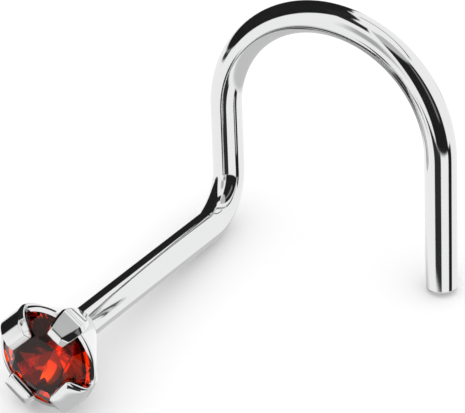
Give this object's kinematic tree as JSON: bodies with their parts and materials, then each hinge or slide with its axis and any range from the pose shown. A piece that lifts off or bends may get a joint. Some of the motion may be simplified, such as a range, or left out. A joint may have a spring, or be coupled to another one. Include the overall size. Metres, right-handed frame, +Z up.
{
  "type": "nose stud",
  "caption": "Polished wire nose stud: a straight post, a right-angle bend, an open half-turn curl and a straight tail, with a round red faceted stone held by claws on a shallow cup.",
  "frame": {"origin": "on the surface that the stud lies on, under the middle of its box", "axes": "+Z up from the surface, +Y level along the post from the stone's setting to the curl, +X from the post towards the tail"},
  "size_m": [0.0076, 0.0102, 0.0066],
  "materials": {
    "polished_steel": "mirror polished",
    "red_stone": "transparent, cut in flat polished facets"
  },
  "bodies": {
    "root": {"wire_and_setting": "polished_steel", "stone": "red_stone"}
  },
  "joints": []
}
